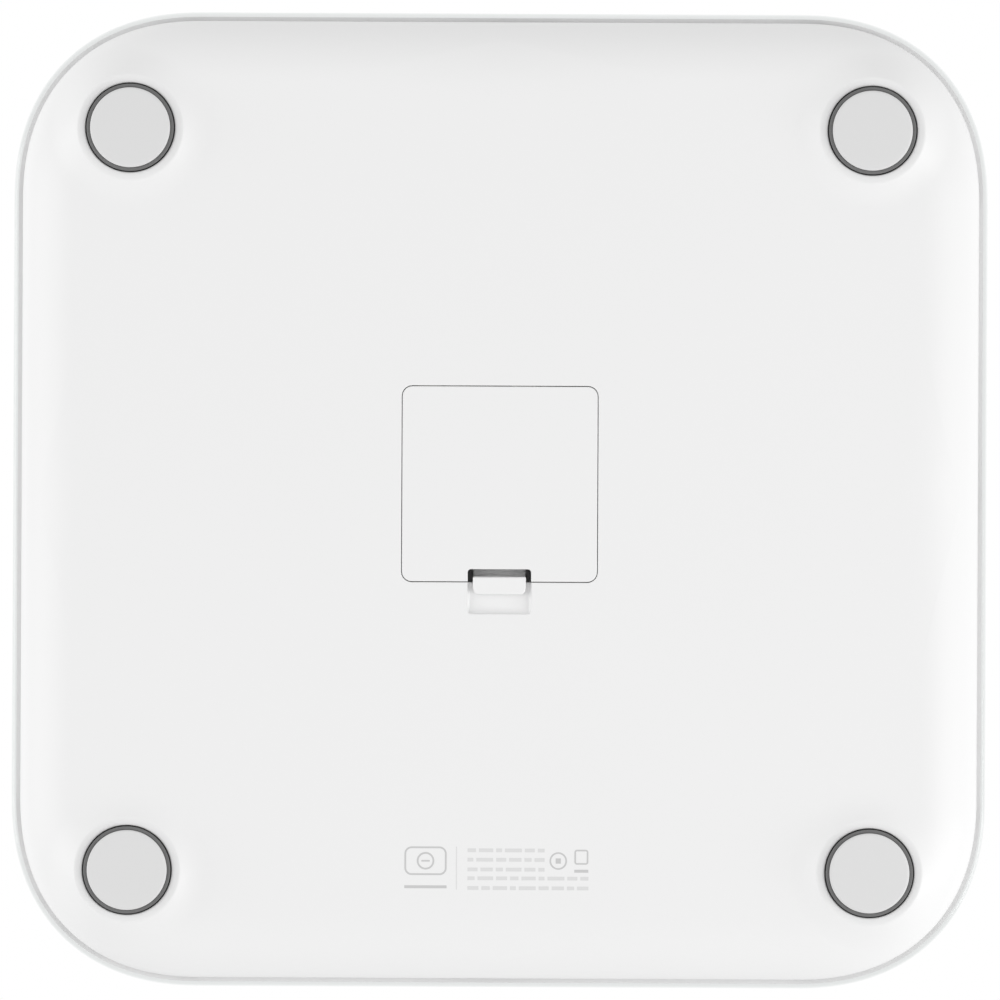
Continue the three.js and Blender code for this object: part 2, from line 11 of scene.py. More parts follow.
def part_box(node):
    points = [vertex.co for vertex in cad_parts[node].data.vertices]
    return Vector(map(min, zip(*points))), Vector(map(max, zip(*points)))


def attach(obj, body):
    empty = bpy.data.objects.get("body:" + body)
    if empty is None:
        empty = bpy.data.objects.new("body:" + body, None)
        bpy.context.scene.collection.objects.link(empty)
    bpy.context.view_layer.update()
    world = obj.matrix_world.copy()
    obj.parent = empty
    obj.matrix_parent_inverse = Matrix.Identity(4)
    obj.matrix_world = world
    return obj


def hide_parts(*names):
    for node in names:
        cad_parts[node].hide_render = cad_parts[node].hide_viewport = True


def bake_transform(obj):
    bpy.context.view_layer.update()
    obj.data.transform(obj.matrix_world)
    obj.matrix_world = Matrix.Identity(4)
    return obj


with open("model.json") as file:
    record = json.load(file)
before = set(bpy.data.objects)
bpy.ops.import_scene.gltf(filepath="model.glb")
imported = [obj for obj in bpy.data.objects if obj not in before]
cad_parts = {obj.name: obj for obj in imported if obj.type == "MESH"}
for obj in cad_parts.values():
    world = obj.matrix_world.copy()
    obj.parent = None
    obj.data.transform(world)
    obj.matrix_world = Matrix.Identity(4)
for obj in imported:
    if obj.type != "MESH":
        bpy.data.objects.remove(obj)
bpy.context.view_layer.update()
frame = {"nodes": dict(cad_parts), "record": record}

MM = 0.001

# ---------- sizes taken from the frame ----------

glass_low, glass_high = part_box("glass_platform")
shell_low, shell_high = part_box("bottom_shell")
door_low, door_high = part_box("battery_door")
latch_low, latch_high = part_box("door_latch")
pad_low, pad_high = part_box("foot_pad_2")
carrier_low, carrier_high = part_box("foot_carrier_2")
frame_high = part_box("upper_frame")[1]
tape_low, tape_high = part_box("platform_tape")
display_low, display_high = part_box("display_diffuser")

GLASS_HALF = glass_high.x
RIM_HALF = shell_high.x
RIM_Z = shell_high.z
BOSS_Z = shell_low.z
BASE_Z = door_low.z
FOOT_AT = (pad_low.x + pad_high.x) / 2
PAD_RADIUS = (pad_high.x - pad_low.x) / 2

# ---------- the scale's outline ----------

CORNER_CENTRE = GLASS_HALF - 58.4 * MM  # where the soft corner begins on each side
CORNER_POWER = 2.27
WALL = 2.2 * MM
EDGE_CURVE = 18 * MM  # width of the casing's curved edge
HOLE_RADIUS = 13.78 * MM
BOSS_FLAT = 16.3 * MM  # radius of the level ring round a foot
BOSS_FOOT = 24.6 * MM  # radius at which a boss has run out into the casing
RIM_STRIP = 6 * MM  # steep outer part of the curved edge, which follows the outline
CENTRE_PATCH = 44 * MM
CORNER_STEPS = 56
SIDE_STEPS = 22
AXIS_STEPS = 16
PATCH_STEPS = 6
STRIP_ROWS = 18


def soft_norm(x, y):
    """Distance from the corner centre, as the superellipse of the soft corner measures it."""
    across = max(abs(x) - CORNER_CENTRE, 0) ** CORNER_POWER
    along = max(abs(y) - CORNER_CENTRE, 0) ** CORNER_POWER
    return (across + along) ** (1 / CORNER_POWER)


def soft_corner(half, steps):
    """Points round one soft corner, from the +Y side to the +X side."""
    reach = half - CORNER_CENTRE
    power = 2 / CORNER_POWER
    points = []
    for step in range(steps + 1):
        turn = math.pi / 2 * step / steps
        x = CORNER_CENTRE + reach * math.sin(turn) ** power
        y = CORNER_CENTRE + reach * abs(math.cos(turn)) ** power
        points.append(Vector((x, y)))
    return points


def soft_square(half, steps=40):
    """The whole outline at a half width, anticlockwise seen from above."""
    corner = [(p.x, p.y) for p in soft_corner(half, steps)]
    right = corner + [(x, -y) for x, y in reversed(corner)]
    left = [(-x, -y) for x, y in right]
    return [Vector(p) for p in reversed(right + left)]


# ---------- mesh helpers ----------


def new_piece(name, bm, body, materials, slot, replaces=(), sharp=35):
    """Finishes a bmesh as a smooth-shaded object that rides on a body, or on none if it will bend."""
    mesh = bpy.data.meshes.new(name)
    bm.to_mesh(mesh)
    bm.free()
    for face in mesh.polygons:
        face.use_smooth = True
    mesh.set_sharp_from_angle(angle=math.radians(sharp))
    for material in materials:
        mesh.materials.append(material)
    piece = bpy.data.objects.new(name, mesh)
    bpy.context.scene.collection.objects.link(piece)
    if body:
        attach(piece, body)
    if replaces:
        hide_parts(*replaces)
    return piece


def add_loop(bm, points, z):
    """A closed loop of edges through flat points at a height."""
    verts = [bm.verts.new((p[0], p[1], z)) for p in points]
    return [bm.edges.new((verts[i - 1], verts[i])) for i in range(len(verts))]


def stack_loops(bm, loops, closed=False):
    """Walls between loops that follow each other, given as (points, z)."""
    rings = [add_loop(bm, points, z) for points, z in loops]
    pairs = list(zip(rings, rings[1:]))
    if closed:
        pairs.append((rings[-1], rings[0]))
    for lower, upper in pairs:
        bmesh.ops.bridge_loops(bm, edges=lower + upper)
    return rings


def tidy(bm, distance=1e-6):
    bmesh.ops.remove_doubles(bm, verts=bm.verts[:], dist=distance)
    bmesh.ops.recalc_face_normals(bm, faces=bm.faces[:])


def rounded_loop(low, high, radius, steps=5):
    """A rounded rectangle as flat points, anticlockwise from its lower left corner."""
    corners = [
        (low[0] + radius, low[1] + radius, math.pi),
        (high[0] - radius, low[1] + radius, 1.5 * math.pi),
        (high[0] - radius, high[1] - radius, 0),
        (low[0] + radius, high[1] - radius, 0.5 * math.pi),
    ]
    points = []
    for x, y, start in corners:
        for step in range(steps + 1):
            turn = start + math.pi / 2 * step / steps
            points.append(Vector((x + radius * math.cos(turn), y + radius * math.sin(turn))))
    return points


def slab(bm, outline, low, high, round_low=0.0, round_high=0.0, segments=3):
    """A plate with rounded long edges. A narrow ring inside each flat face keeps its shading level."""
    face = bm.faces.new([bm.verts.new((p[0], p[1], low)) for p in outline])
    raised = bmesh.ops.extrude_face_region(bm, geom=[face])["geom"]
    top = [v for v in raised if isinstance(v, bmesh.types.BMVert)]
    bmesh.ops.translate(bm, verts=top, vec=(0, 0, high - low))
    upper = [f for f in raised if isinstance(f, bmesh.types.BMFace)][0]
    for flat, level, radius in ((face, low, round_low), (upper, high, round_high)):
        if not radius:
            continue
        made = bmesh.ops.bevel(
            bm, geom=flat.edges[:], affect="EDGES", offset=radius, segments=segments,
            profile=0.5, material=-1,
        )
        around = {f for e in made["edges"] for f in e.link_faces}
        inner = [f for f in around if all(abs(v.co.z - level) < 1e-7 for v in f.verts)]
        bmesh.ops.inset_region(bm, faces=inner, thickness=radius * 1.2)
    bmesh.ops.recalc_face_normals(bm, faces=bm.faces[:])


def block(bm, low, high, radius=0.0):
    """A box from corner to corner with its edges eased."""
    size = Vector(high) - Vector(low)
    middle = (Vector(high) + Vector(low)) / 2
    place = Matrix.Translation(middle) @ Matrix.Diagonal((*size, 1))
    made = bmesh.ops.create_cube(bm, size=1, matrix=place)
    if radius:
        edges = {e for v in made["verts"] for e in v.link_edges}
        bmesh.ops.bevel(
            bm, geom=list(edges), affect="EDGES", offset=radius, segments=2, profile=0.5, material=-1,
        )


def turned(bm, profile, place=Matrix(), steps=96):
    """A solid of revolution in a mesh of its own; profile is (radius, height) from axis to axis."""
    verts = [bm.verts.new((r, 0, z)) for r, z in profile]
    edges = [bm.edges.new(pair) for pair in zip(verts, verts[1:])]
    bmesh.ops.spin(
        bm, geom=verts + edges, cent=(0, 0, 0), axis=(0, 0, 1), dvec=(0, 0, 0),
        angle=2 * math.pi, steps=steps, use_merge=True,
    )
    tidy(bm)
    bmesh.ops.transform(bm, matrix=place, verts=bm.verts[:])


def quarter_round(radius, centre, start, end, steps=4):
    """Points on an arc, with its angles in degrees."""
    points = []
    for step in range(steps + 1):
        turn = math.radians(start + (end - start) * step / steps)
        points.append((centre[0] + radius * math.cos(turn), centre[1] + radius * math.sin(turn)))
    return points


# ---------- shader node helpers ----------


class Nodes:
    """Adds nodes to a tree and links sockets by name."""

    def __init__(self, tree):
        self.tree = tree

    def add(self, kind, inputs=None, **settings):
        node = self.tree.nodes.new(kind)
        for key, value in settings.items():
            setattr(node, key, value)
        for key, value in (inputs or {}).items():
            if isinstance(value, bpy.types.NodeSocket):
                self.tree.links.new(value, node.inputs[key])
            else:
                node.inputs[key].default_value = value
        return node

    def maths(self, operation, *values):
        return self.add("ShaderNodeMath", dict(enumerate(values)), operation=operation).outputs[0]

    def noise(self, place, scale, detail=2.0):
        made = self.add("ShaderNodeTexNoise", {"Vector": place, "Scale": scale, "Detail": detail})
        return made.outputs["Fac"]

    def drift(self, place, scale, amount, around, detail=2.0):
        """A noise that wanders by amount, to both sides of a middle value."""
        centred = self.maths("SUBTRACT", self.noise(place, scale, detail), 0.5)
        return self.maths("MULTIPLY_ADD", centred, amount, around)


def new_group(name, inputs, outputs):
    tree = bpy.data.node_groups.new(name, "ShaderNodeTree")
    for label, kind, value in inputs:
        socket = tree.interface.new_socket(name=label, in_out="INPUT", socket_type="NodeSocket" + kind)
        socket.default_value = value
    for label, kind in outputs:
        tree.interface.new_socket(name=label, in_out="OUTPUT", socket_type="NodeSocket" + kind)
    entry = tree.nodes.new("NodeGroupInput").outputs
    leave = tree.nodes.new("NodeGroupOutput").inputs
    return tree, Nodes(tree), entry, leave


SURFACE_INPUTS = [
    ("Colour", "Color", (0.8, 0.8, 0.8, 1)), ("Tone", "Float", 0.02), ("Roughness", "Float", 0.4),
    ("Gloss drift", "Float", 0.05), ("Grain size", "Float", 4000.0),
]
SURFACE_OUTPUTS = [("Colour", "Color"), ("Roughness", "Float"), ("Grain", "Float")]


def make_moulding_group():
    """Moulded plastic: a faint drift of tone and gloss, and a fine satin grain."""
    tree, nodes, entry, leave = new_group("moulded_surface", SURFACE_INPUTS, SURFACE_OUTPUTS)
    place = nodes.add("ShaderNodeTexCoord").outputs["Object"]
    tone = nodes.drift(place, 9.0, entry["Tone"], 1.0)
    colour = nodes.add("ShaderNodeVectorMath", {0: entry["Colour"], "Scale": tone}, operation="SCALE")
    tree.links.new(colour.outputs[0], leave["Colour"])
    gloss = nodes.drift(place, 60.0, entry["Gloss drift"], entry["Roughness"], 3.0)
    tree.links.new(gloss, leave["Roughness"])
    tree.links.new(nodes.noise(place, entry["Grain size"]), leave["Grain"])
    return tree


def make_metal_group():
    """Rolled or drawn metal: streaks that run along Y, and a slight change of tone along them."""
    tree, nodes, entry, leave = new_group("drawn_metal", SURFACE_INPUTS, SURFACE_OUTPUTS)
    place = nodes.add("ShaderNodeTexCoord").outputs["Object"]
    along = nodes.add("ShaderNodeMapping", {"Vector": place, "Scale": (1.0, 0.03, 1.0)}).outputs[0]
    tone = nodes.drift(along, entry["Grain size"], entry["Tone"], 1.0)
    colour = nodes.add("ShaderNodeVectorMath", {0: entry["Colour"], "Scale": tone}, operation="SCALE")
    tree.links.new(colour.outputs[0], leave["Colour"])
    gloss = nodes.drift(place, 150.0, entry["Gloss drift"], entry["Roughness"], 3.0)
    tree.links.new(gloss, leave["Roughness"])
    tree.links.new(nodes.noise(along, entry["Grain size"]), leave["Grain"])
    return tree


MOULDING = make_moulding_group()
METAL = make_metal_group()


def grey(value):
    return (value, value, value, 1)


def new_material(name):
    material = bpy.data.materials.new(name)
    material.use_nodes = True
    material.node_tree.nodes.clear()
    nodes = Nodes(material.node_tree)
    return material, nodes, nodes.add("ShaderNodeOutputMaterial")


def finish(name, colour, roughness, surface=MOULDING, tone=0.01, gloss_drift=0.05, grain_size=2500.0,
           grain_depth=0.004, **shader_values):
    """A plastic, rubber, ink or metal finish over one of the shared surfaces."""
    material, nodes, out = new_material(name)
    made = nodes.add("ShaderNodeGroup", node_tree=surface)
    for label, value in zip(("Colour", "Tone", "Roughness", "Gloss drift", "Grain size"),
                            (colour, tone, roughness, gloss_drift, grain_size)):
        made.inputs[label].default_value = value
    bump = nodes.add("ShaderNodeBump", {"Height": made.outputs["Grain"], "Distance": grain_depth * MM})
    shader = nodes.add(
        "ShaderNodeBsdfPrincipled",
        {
            "Base Color": made.outputs["Colour"], "Roughness": made.outputs["Roughness"],
            "Normal": bump.outputs[0],
        },
    )
    for label, value in shader_values.items():
        shader.inputs[label.replace("_", " ").title()].default_value = value
    material.node_tree.links.new(shader.outputs[0], out.inputs["Surface"])
    return material


def make_glass():
    """Polished clear glass with a trace of handling marks; it lets light through to what lies under it."""
    material, nodes, out = new_material("clear_platform_glass")
    place = nodes.add("ShaderNodeTexCoord").outputs["Object"]
    rough = nodes.drift(place, 25.0, 0.04, 0.04, 4.0)
    shader = nodes.add(
        "ShaderNodeBsdfPrincipled",
        {"Base Color": (0.965, 0.985, 0.98, 1), "Roughness": rough, "IOR": 1.5, "Transmission Weight": 1.0},
    )
    clear = nodes.add("ShaderNodeBsdfTransparent", {"Color": (0.975, 0.985, 0.98, 1)})
    path = nodes.add("ShaderNodeLightPath")
    mix = nodes.add(
        "ShaderNodeMixShader",
        {0: path.outputs["Is Shadow Ray"], 1: shader.outputs[0], 2: clear.outputs[0]},
    )
    material.node_tree.links.new(mix.outputs[0], out.inputs["Surface"])
    return material


WHITE = finish("satin_white_casing", grey(0.86), 0.42)
WHITE_TAB = finish("satin_white_latch", grey(0.87), 0.38)
# Painted light: the recess takes a lighter copy of the casing white, to lift the shade inside the pocket.
LIGHTENED_RECESS_WHITE = finish("recess_white_painted_light", grey(0.9), 0.3)
PAD_GREY = finish("light_grey_pad", grey(0.715), 0.7, tone=0.03, grain_size=1800, grain_depth=0.012)
DARK = finish("dark_grey_carrier", grey(0.15), 0.55, tone=0.05, grain_size=2200, grain_depth=0.006)
INK = finish("grey_printing", grey(0.58), 0.5, tone=0.03, grain_size=6000, grain_depth=0.001)
PALE_INK = finish("pale_grey_printing", grey(0.72), 0.5, tone=0.03, grain_size=6000, grain_depth=0.001)
WHITE_PRINT = finish("white_glass_print", grey(0.9), 0.3, tone=0.004, grain_size=5000, grain_depth=0.001)
# Painted shade: a grey sheet under the glass's white print. It shows only in the band beyond the casing rim
# and darkens it as the shadow in that gap would.
PAINTED_SHADE_BACKING = finish("grey_painted_shade_backing", grey(0.75), 0.5, tone=0.02, grain_size=5000, grain_depth=0.001)
TAPE = finish("white_foam_tape", grey(0.8), 0.85, tone=0.04, grain_size=1500, grain_depth=0.03)
STEEL = finish("pressed_spring_steel", grey(0.56), 0.32, METAL, tone=0.12, grain_depth=0.002, metallic=1.0)
ZINC = finish("zinc_screw", (0.62, 0.61, 0.58, 1), 0.35, METAL, tone=0.1, grain_depth=0.002, metallic=1.0)
NICKEL = finish(
    "nickel_contact", (0.74, 0.72, 0.68, 1), 0.22, METAL, tone=0.08, grain_depth=0.001, metallic=1.0,
)
FOIL = finish(
    "plain_foil_sleeve", (0.42, 0.45, 0.5, 1), 0.3, METAL, tone=0.06, grain_depth=0.001, metallic=0.8,
)
BOARD = finish("green_solder_resist", (0.03, 0.17, 0.08, 1), 0.35, tone=0.15, grain_size=900)
BLACK = finish("black_moulding", grey(0.025), 0.35, tone=0.1)
FILM = finish("translucent_film", grey(0.75), 0.45, tone=0.03, grain_size=3500)
SLEEVE = finish("grey_lead_sleeve", grey(0.5), 0.5, tone=0.06)
GLASS = make_glass()
SLOT_MATERIAL = {
    "clear_glass": GLASS, "white_casing": WHITE, "grey_pad": PAD_GREY, "dark_carrier": DARK,
    "bond_tape": TAPE, "cell_steel": STEEL, "screw_steel": ZINC, "cell_jacket": FOIL,
    "contact_nickel": NICKEL, "circuit_board": BOARD, "black_parts": BLACK, "diffuser_film": FILM,
    "lead_sleeve": SLEEVE, "print_grey": INK,
}

# ---------- casing ----------


def boss_weight(x, y):
    """0 on the level ring of a foot boss, then a slope that eases out to 1 where the boss ends."""
    radius = math.hypot(abs(x) - FOOT_AT, abs(y) - FOOT_AT)
    share = min(max((radius - BOSS_FLAT) / (BOSS_FOOT - BOSS_FLAT), 0), 1)
    return 1 - (1 - share) ** 2


def pan_height(x, y, half, base, curve):
    """The pan: level in the middle, then a quarter ellipse up to the rim."""
    inset = half - CORNER_CENTRE - soft_norm(x, y)
    lean = min(max((curve - inset) / curve, 0), 1)
    return base + (RIM_Z - base) * (1 - math.sqrt(1 - lean * lean))


def outer_height(x, y):
    height = pan_height(x, y, RIM_HALF, BASE_Z, EDGE_CURVE)
    return BOSS_Z + (height - BOSS_Z) * boss_weight(x, y)


def inner_height(x, y):
    return pan_height(x, y, RIM_HALF - WALL, BASE_Z + WALL, EDGE_CURVE - 1 * MM)


def quarter_outline(half):
    """A quarter of the outline, from the +Y axis through the soft corner to the +X axis."""
    corner = soft_corner(half, CORNER_STEPS)
    side = [Vector((CORNER_CENTRE * step / SIDE_STEPS, half)) for step in range(SIDE_STEPS)]
    return side + corner + [Vector((p.y, p.x)) for p in reversed(side)]


def quarter_border(half):
    """The outline's quarter, closed along the axes and round the middle patch."""
    patch = CENTRE_PATCH
    spans = [
        (Vector((half, 0)), Vector((patch, 0)), AXIS_STEPS),
        (Vector((patch, 0)), Vector((patch, patch)), PATCH_STEPS),
        (Vector((patch, patch)), Vector((0, patch)), PATCH_STEPS),
        (Vector((0, patch)), Vector((0, half)), AXIS_STEPS),
    ]
    points = quarter_outline(half)
    for start, end, steps in spans:
        points += [start.lerp(end, step / steps) for step in range(1, steps + 1)]
    return points


def shaped_grid(bm, columns, rows, place):
    """A grid whose points go where place(column, row) says."""
    made = bmesh.ops.create_grid(bm, x_segments=columns, y_segments=rows, size=0.5)
    for vert in made["verts"]:
        column = round((vert.co.x + 0.5) * columns)
        row = round((vert.co.y + 0.5) * rows)
        vert.co = place(column, row)


def casing_skin(bm, half, hole_rows, ring_steps, height):
    """One skin of the pan: a strip along the rim, and rings that turn from a foot hole into it."""
    strips = []
    for row in range(STRIP_ROWS + 1):
        inset = RIM_STRIP * (1 - math.cos(math.pi / 2 * row / STRIP_ROWS))
        strips.append(quarter_outline(half - inset))
    border = quarter_border(half - RIM_STRIP)
    foot = Vector((FOOT_AT, FOOT_AT))

    def on_strip(column, row):
        x, y = strips[row][column]
        return (x, y, height(x, y))

    def on_rings(column, row):
        outward = (border[column] - foot).normalized()
        if row < len(hole_rows):
            radius, z = hole_rows[row]
            x, y = foot + outward * radius
            return (x, y, height(x, y) if z is None else z)
        share = (1 - math.cos(math.pi * (row - len(hole_rows) + 1) / ring_steps)) / 2
        x, y = (foot + outward * hole_rows[-1][0]).lerp(border[column], share)
        return (x, y, height(x, y))

    shaped_grid(bm, len(strips[0]) - 1, STRIP_ROWS, on_strip)
    shaped_grid(bm, len(border) - 1, len(hole_rows) + ring_steps - 1, on_rings)
    for axis in ("X", "Y"):
        bmesh.ops.mirror(
            bm, geom=bm.verts[:] + bm.edges[:] + bm.faces[:], matrix=Matrix(), merge_dist=1e-6, axis=axis,
        )
    bmesh.ops.remove_doubles(bm, verts=bm.verts[:], dist=1e-6)


OPENING_HALF = 30.25 * MM
OPENING_NEAR = -25.25 * MM
OPENING_FAR = 35.25 * MM
OPENING_CORNER = 3.25 * MM
RECESS_HALF = 9.85 * MM
RECESS_END = -35 * MM
RECESS_CORNER = 1.2 * MM
RECESS_DEPTH = 2 * MM
EDGE_ROUND = 0.18 * MM


def opening_outline(grow):
    """Door opening and finger recess as one outline, moved outwards by grow."""
    door = rounded_loop(
        (-OPENING_HALF - grow, OPENING_NEAR - grow), (OPENING_HALF + grow, OPENING_FAR + grow),
        OPENING_CORNER + grow,
    )
    reach = RECESS_HALF + grow
    recess = rounded_loop((-reach, RECESS_END - grow), (reach, OPENING_NEAR), RECESS_CORNER + grow)
    quarter = len(door) // 4
    joint_y = OPENING_NEAR - grow
    notch = [Vector((-reach, joint_y))] + recess[: len(recess) // 2] + [Vector((reach, joint_y))]
    return door[:quarter] + notch + door[quarter:]


def patch_outline():
    """The square that joins the middle of the casing to its four quarters."""
    marks = [CENTRE_PATCH * (step / PATCH_STEPS - 1) for step in range(2 * PATCH_STEPS)]
    side = CENTRE_PATCH
    return (
        [(m, -side) for m in marks] + [(side, m) for m in marks]
        + [(-m, side) for m in marks] + [(-side, -m) for m in marks]
    )


def make_casing():
    """The pan with its bosses, foot holes and door opening, as one closed wall."""
    bm = bmesh.new()
    lip = [(HOLE_RADIUS, BOSS_Z + WALL), (HOLE_RADIUS, BOSS_Z + 1.2 * MM)]
    lip += quarter_round(0.35 * MM, (HOLE_RADIUS + 0.35 * MM, BOSS_Z + 0.35 * MM), 180, 270)
    ring = [(radius * MM, None) for radius in (14.6, 15.6, 16.2, 16.4, 16.8, 17.4)]
    casing_skin(bm, RIM_HALF, lip + ring, 60, outer_height)
    inside = bmesh.new()
    tower = [
        (HOLE_RADIUS, BOSS_Z + WALL), (15.6 * MM, BOSS_Z + WALL), (15.6 * MM, 12 * MM), (17.4 * MM, 12 * MM),
        (17.4 * MM, None),
    ]
    casing_skin(inside, RIM_HALF - WALL, tower, 16, inner_height)
    carried = bpy.data.meshes.new("carried")
    inside.to_mesh(carried)
    inside.free()
    bm.from_mesh(carried)
    bpy.data.meshes.remove(carried)

    outer_square = add_loop(bm, patch_outline(), BASE_Z)
    inner_square = add_loop(bm, patch_outline(), BASE_Z + WALL)
    walls = [(opening_outline(0.9 * MM), BASE_Z)]
    for turn in (0, 22.5, 45, 67.5, 90):
        across = EDGE_ROUND * (1 - math.sin(math.radians(turn)))
        rise = EDGE_ROUND * (1 - math.cos(math.radians(turn)))
        walls.append((opening_outline(across), BASE_Z + rise))
    walls += [(opening_outline(0), BASE_Z + WALL)]
    rings = stack_loops(bm, walls)
    for square, ring_edges in ((outer_square, rings[0]), (inner_square, rings[-1])):
        bmesh.ops.triangle_fill(bm, use_beauty=True, use_dissolve=False, edges=square + ring_edges)
    bmesh.ops.remove_doubles(bm, verts=bm.verts[:], dist=2e-6)
    rims = [e for e in bm.edges if e.is_boundary and min(v.co.z for v in e.verts) > RIM_Z - 1e-5]
    bmesh.ops.bridge_loops(bm, edges=rims)
    tidy(bm, 2e-6)
    return new_piece("casing", bm, "scale_body", [WHITE], "white_casing", ["bottom_shell"], sharp=50)


def make_recess():
    """The finger recess: a shallow scooped pocket beside the latch, open towards the battery bay."""
    bm = bmesh.new()
    columns, rows = 48, 28
    side_round, end_round = 0.8 * MM, 2.4 * MM
    length = OPENING_NEAR - RECESS_END
    start = BASE_Z + 0.3 * MM

    def pocket(extra):
        def place(column, row):
            x = RECESS_HALF * math.sin(math.pi * (column / columns - 0.5))
            y = RECESS_END + length * (1 - math.cos(math.pi / 2 * row / rows))
            from_side = min((RECESS_HALF - abs(x)) / side_round, 1)
            from_end = min((y - RECESS_END) / end_round, 1)
            rise = math.sqrt(max(1 - (1 - from_side) ** 2, 0) * max(1 - (1 - from_end) ** 2, 0))
            return (x, y, start + RECESS_DEPTH * rise + extra)
        return place

    for extra in (0, 1.2 * MM):
        shaped_grid(bm, columns, rows, pocket(extra))
    bmesh.ops.bridge_loops(bm, edges=[e for e in bm.edges if e.is_boundary])
    tidy(bm)
    # The recess's lighter white is painted light against the shade in the pocket.
    new_piece("finger_recess", bm, "scale_body", [LIGHTENED_RECESS_WHITE], "white_casing", sharp=60)


# ---------- battery door and latch ----------

DOOR_THICK = 1.6 * MM
NOTCH_HALF = 9.75 * MM
NOTCH_EDGE = -21.2 * MM
SPRING_HALF = 8 * MM
SPRING_THICK = 1.2 * MM
RIB_X = 14.6 * MM


def make_door():
    """The battery door: a thin plate with a notch for the latch, ribs and two hinge tabs inside."""
    bm = bmesh.new()
    plate = rounded_loop((door_low.x, door_low.y), (door_high.x, 35 * MM), 3 * MM)
    notch = rounded_loop((-NOTCH_HALF, door_low.y - 5 * MM), (NOTCH_HALF, NOTCH_EDGE), 1 * MM)
    quarter = len(plate) // 4
    cut = [Vector((NOTCH_HALF, door_low.y))] + notch[2 * quarter:] + [Vector((-NOTCH_HALF, door_low.y))]
    outline = plate[:quarter] + list(reversed(cut)) + plate[quarter:]
    top = BASE_Z + DOOR_THICK
    slab(bm, outline, BASE_Z, top, 0.25 * MM, 0.15 * MM)
    root = top - 0.4 * MM
    for x in (-RIB_X, 0, RIB_X):
        block(bm, (x - 0.5 * MM, -14 * MM, root), (x + 0.5 * MM, 31 * MM, 8.4 * MM), 0.15 * MM)
    for x in (-RIB_X, RIB_X):
        block(bm, (x - 2.2 * MM, 31.5 * MM, root), (x + 2.2 * MM, 34.8 * MM, 9 * MM), 0.2 * MM)
        block(bm, (x - 2.2 * MM, 31.7 * MM, 7.6 * MM), (x + 2.2 * MM, 38 * MM, 9 * MM), 0.3 * MM)
    return new_piece("door", bm, "door", [WHITE], "white_casing", ["battery_door"], sharp=40)


def make_latch():
    """A spring strip bent like a hairpin, with the door at one end and the thumb tab at the other."""
    bm = bmesh.new()
    low_z = BASE_Z + 0.8 * MM
    fixed_y = NOTCH_EDGE + SPRING_THICK
    free_y = latch_low.y + 4.2 * MM
    outer = (fixed_y - free_y) / 2
    centre = ((fixed_y + free_y) / 2, latch_high.z - outer)
    profile = [(fixed_y, low_z)] + quarter_round(outer, centre, 0, 180, 20) + [(free_y, low_z)]
    profile += [(free_y + SPRING_THICK, low_z)] + quarter_round(outer - SPRING_THICK, centre, 180, 0, 20)
    profile += [(fixed_y - SPRING_THICK, low_z)]
    face = bm.faces.new([bm.verts.new((-SPRING_HALF, y, z)) for y, z in profile])
    drawn = bmesh.ops.extrude_face_region(bm, geom=[face])["geom"]
    moved = [v for v in drawn if isinstance(v, bmesh.types.BMVert)]
    bmesh.ops.translate(bm, verts=moved, vec=(2 * SPRING_HALF, 0, 0))
    bmesh.ops.recalc_face_normals(bm, faces=bm.faces[:])
    spring = new_piece("latch_spring", bm, None, [WHITE_TAB], "white_casing", sharp=40)
    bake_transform(spring)
    bm = bmesh.new()
    half, back, front, cut = 8.15 * MM, -23.7 * MM, latch_low.y, 1.1 * MM
    shoulder = front + 2.2 * MM
    outline = [
        (-half, shoulder), (-half + 0.3 * MM, front + 0.8 * MM), (-half + cut, front), (half - cut, front),
        (half - 0.3 * MM, front + 0.8 * MM), (half, shoulder), (half, back), (-half, back),
    ]
    slab(bm, outline, BASE_Z, BASE_Z + 1.7 * MM, 0.3 * MM, 0.2 * MM)
    new_piece("latch_tab", bm, "latch", [WHITE_TAB], "white_casing", ["door_latch"], sharp=40)


# ---------- feet ----------


def make_foot(number, x, y):
    place = Matrix.Translation((x, y, 0))
    pad_top = pad_high.z
    bm = bmesh.new()
    profile = [(0, 0), (PAD_RADIUS - 2 * MM, 0)]
    profile += quarter_round(0.8 * MM, (PAD_RADIUS - 0.8 * MM, 0.8 * MM), 270, 360, 6)
    profile += [(PAD_RADIUS, pad_top), (0, pad_top)]
    turned(bm, profile, place)
    new_piece(f"pad_{number}", bm, f"foot_{number}", [PAD_GREY], "grey_pad", [f"foot_pad_{number}"])
    bm = bmesh.new()
    lip_in, lip_out = PAD_RADIUS + 0.05 * MM, 13.4 * MM
    lip_z, flange_z, flange = carrier_low.z, 5.6 * MM, (carrier_high.x - carrier_low.x) / 2
    profile = [(0, pad_top), (lip_in, pad_top), (lip_in, lip_z + 0.2 * MM), (lip_in + 0.15 * MM, lip_z)]
    profile += quarter_round(0.3 * MM, (lip_out - 0.3 * MM, lip_z + 0.3 * MM), 270, 360)
    profile += [
        (lip_out, flange_z), (flange, flange_z), (flange, flange_z + 1.4 * MM), (4 * MM, flange_z + 1.4 * MM),
        (3 * MM, carrier_high.z), (0, carrier_high.z),
    ]
    turned(bm, profile, place)
    new_piece(f"carrier_{number}", bm, f"foot_{number}", [DARK], "dark_carrier", [f"foot_carrier_{number}"])


# ---------- battery cells ----------


